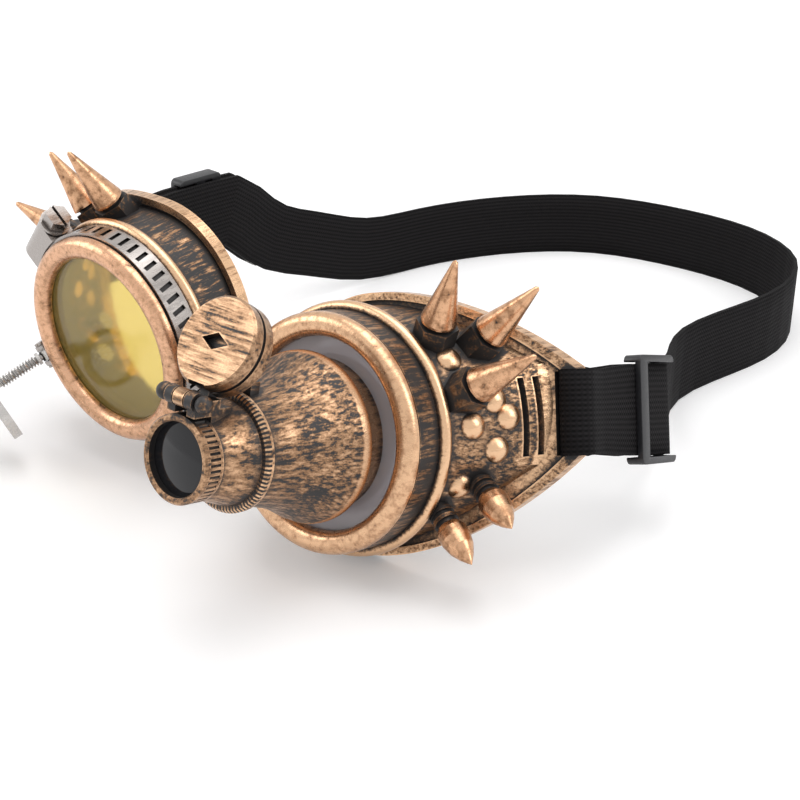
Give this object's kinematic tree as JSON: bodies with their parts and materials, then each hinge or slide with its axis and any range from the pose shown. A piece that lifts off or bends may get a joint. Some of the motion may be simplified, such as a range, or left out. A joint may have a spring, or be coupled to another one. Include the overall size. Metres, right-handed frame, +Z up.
{
  "type": "steampunk goggles",
  "caption": "Costume goggles with round screw-on lens rings, spiked copper eye cups, a flip-capped scope on one eye, a clamped swing loupe on the other and an elastic head strap.",
  "frame": {"origin": "where the wearer's nose sits: midway between the two eyes, 17 mm behind the fronts of the lens rings", "axes": "+Z up with the goggles lying on a table, lenses looking along -Y, head strap along +Y, +X to the right of someone who looks into the lenses"},
  "size_m": [0.198, 0.3199, 0.0938],
  "materials": {
    "aged_copper": "copper plating brushed over a black base, worn in streaks",
    "rim_copper": "bright copper plating, satin, dark in its recesses",
    "polished_copper": "polished copper colour",
    "dark_bronze": "dark bronze, satin",
    "screw_steel": "plain steel",
    "gasket_rubber": "matt black",
    "black_plastic": "satin black",
    "tip_metal": "bright nickel",
    "clear_lens": "clear, faintly grey",
    "amber_lens": "clear, amber yellow",
    "dark_glass": "dark, glossy",
    "loupe_glass": "clear",
    "clamp_steel": "bright rolled steel",
    "loupe_steel": "bright steel wire",
    "black_elastic": "black ribbed elastic",
    "black_rubber": "matt black"
  },
  "bodies": {
    "goggles": {"scope_eye_cup": "aged_copper", "scope_eye_lens": "clear_lens", "scope_eye_gasket": "gasket_rubber", "scope_eye_long_spikes": "polished_copper", "scope_eye_spike_bases": "dark_bronze", "scope_eye_short_spikes": "polished_copper", "scope_eye_short_spike_posts": "dark_bronze", "scope_eye_spike_screws": "screw_steel", "clamp_eye_cup": "aged_copper", "clamp_eye_lens": "amber_lens", "clamp_eye_gasket": "gasket_rubber", "clamp_eye_long_spikes": "polished_copper", "clamp_eye_spike_bases": "dark_bronze", "clamp_eye_short_spikes": "polished_copper", "clamp_eye_short_spike_posts": "dark_bronze", "clamp_eye_spike_screws": "screw_steel", "scope_bell": "aged_copper", "scope_neck_ring": "rim_copper", "scope_barrel": "aged_copper", "scope_back_nut": "black_plastic", "cap_hinge_bracket": "dark_bronze", "cap_hinge_pin": "dark_bronze", "clamp_band": "clamp_steel", "clamp_housing": "clamp_steel", "loupe_bracket": "clamp_steel", "loupe_pivot_pin": "clamp_steel", "head_strap": "black_elastic", "scope_eye_strap_tip": "tip_metal", "clamp_eye_strap_tip": "tip_metal", "nose_bridge": "black_rubber", "bridge_pins": "dark_bronze"},
    "scope_ring": {"scope_eye_ring": "rim_copper"},
    "clamp_ring": {"clamp_eye_ring": "rim_copper"},
    "front_ring": {"scope_front_ring": "rim_copper", "scope_front_lens": "dark_glass"},
    "cap": {"flip_cap": "rim_copper", "flip_cap_plate": "rim_copper"},
    "worm_screw": {"clamp_screw": "clamp_steel"},
    "loupe_arm": {"loupe_arm": "loupe_steel", "loupe_end_ball": "loupe_steel", "loupe_spring": "loupe_steel"},
    "loupe_glass": {"loupe_carrier": "loupe_steel", "loupe_lens": "loupe_glass"},
    "scope_slider": {"scope_eye_strap_slider": "black_plastic"},
    "clamp_slider": {"clamp_eye_strap_slider": "black_plastic"}
  },
  "joints": [
    {"name": "scope_ring_turn", "type": "hinge", "parent": "goggles", "child": "scope_ring", "pos_m": [0.0415, -0.017, -0.00108], "axis": [0, -0.9711, 0.2385], "continuous": true},
    {"name": "clamp_ring_turn", "type": "hinge", "parent": "goggles", "child": "clamp_ring", "pos_m": [-0.0415, -0.017, 0.0015], "axis": [0, -0.9972, -0.075], "continuous": true},
    {"name": "front_ring_turn", "type": "hinge", "parent": "goggles", "child": "front_ring", "pos_m": [0.0415, -0.0574, 0.00884], "axis": [0, -0.9711, 0.2385], "continuous": true},
    {"name": "cap_flip", "type": "hinge", "parent": "goggles", "child": "cap", "pos_m": [0.0415, -0.0585, 0.02405], "axis": [1, 0, 0], "range_deg": [0, 205]},
    {"name": "worm_turn", "type": "hinge", "parent": "goggles", "child": "worm_screw", "pos_m": [-0.0683, -0.01158, 0.0261], "axis": [0.6691, -0.0557, 0.7411], "continuous": true},
    {"name": "loupe_swing", "type": "hinge", "parent": "goggles", "child": "loupe_arm", "pos_m": [-0.07508, -0.01129, -0.01237], "axis": [0.4612, 0.2302, -0.8569], "range_deg": [-25, 45]},
    {"name": "loupe_slide", "type": "slide", "parent": "loupe_arm", "child": "loupe_glass", "axis": [-0.3371, -0.8479, -0.4092], "range_m": [0, 0.037]},
    {"name": "scope_slider_slide", "type": "slide", "parent": "goggles", "child": "scope_slider", "axis": [0.0258, 0.9476, -0.3185], "range_m": [-0.008, 0]},
    {"name": "clamp_slider_slide", "type": "slide", "parent": "goggles", "child": "clamp_slider", "axis": [-0.0061, 0.9999, -0.012], "range_m": [-0.014, 0]}
  ]
}
